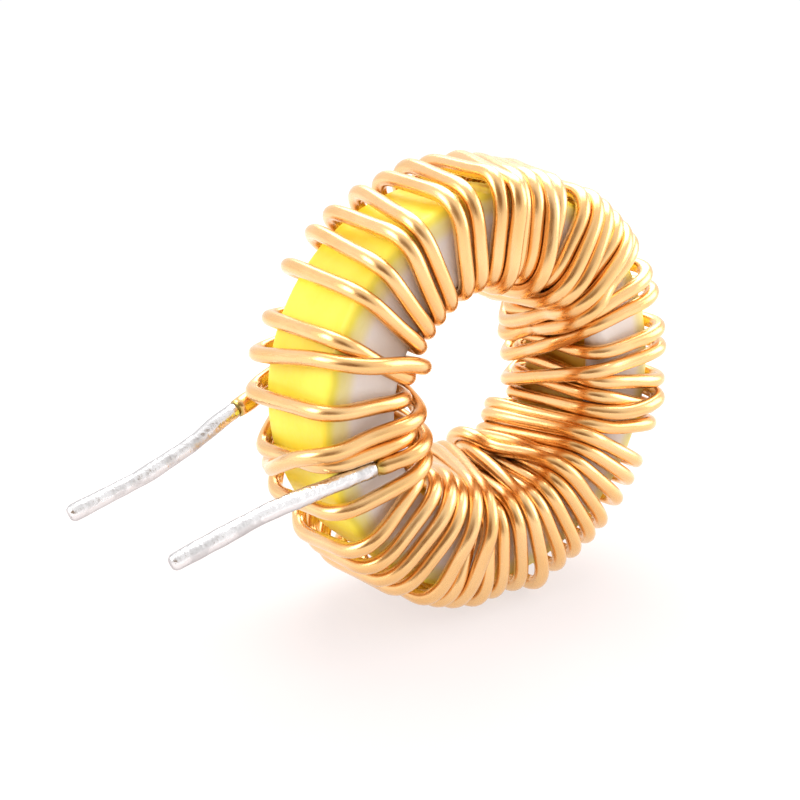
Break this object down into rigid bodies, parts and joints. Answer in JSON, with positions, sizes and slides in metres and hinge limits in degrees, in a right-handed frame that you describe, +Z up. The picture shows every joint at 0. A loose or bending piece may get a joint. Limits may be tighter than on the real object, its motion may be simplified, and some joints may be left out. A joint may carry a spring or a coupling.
{
  "type": "toroidal inductor",
  "caption": "Ring inductor: yellow powder ring with a white face, wound all the way round with enamelled copper wire; both tinned ends leave on the same side.",
  "frame": {"origin": "on the floor under the middle of the part's footprint, the ring standing on its rim", "axes": "+Z up, Y along the ring's axis with the white face towards -Y, both leads towards -X"},
  "size_m": [0.0312, 0.0105, 0.0229],
  "materials": {
    "core": "satin paint on pressed iron powder",
    "white_face": "matte paint",
    "winding": "clear enamel over copper",
    "solder": "bright tin solder"
  },
  "bodies": {
    "root": {"core": "core", "white_face": "white_face", "winding": "winding", "front_lead_solder": "solder", "back_lead_solder": "solder"}
  },
  "joints": []
}
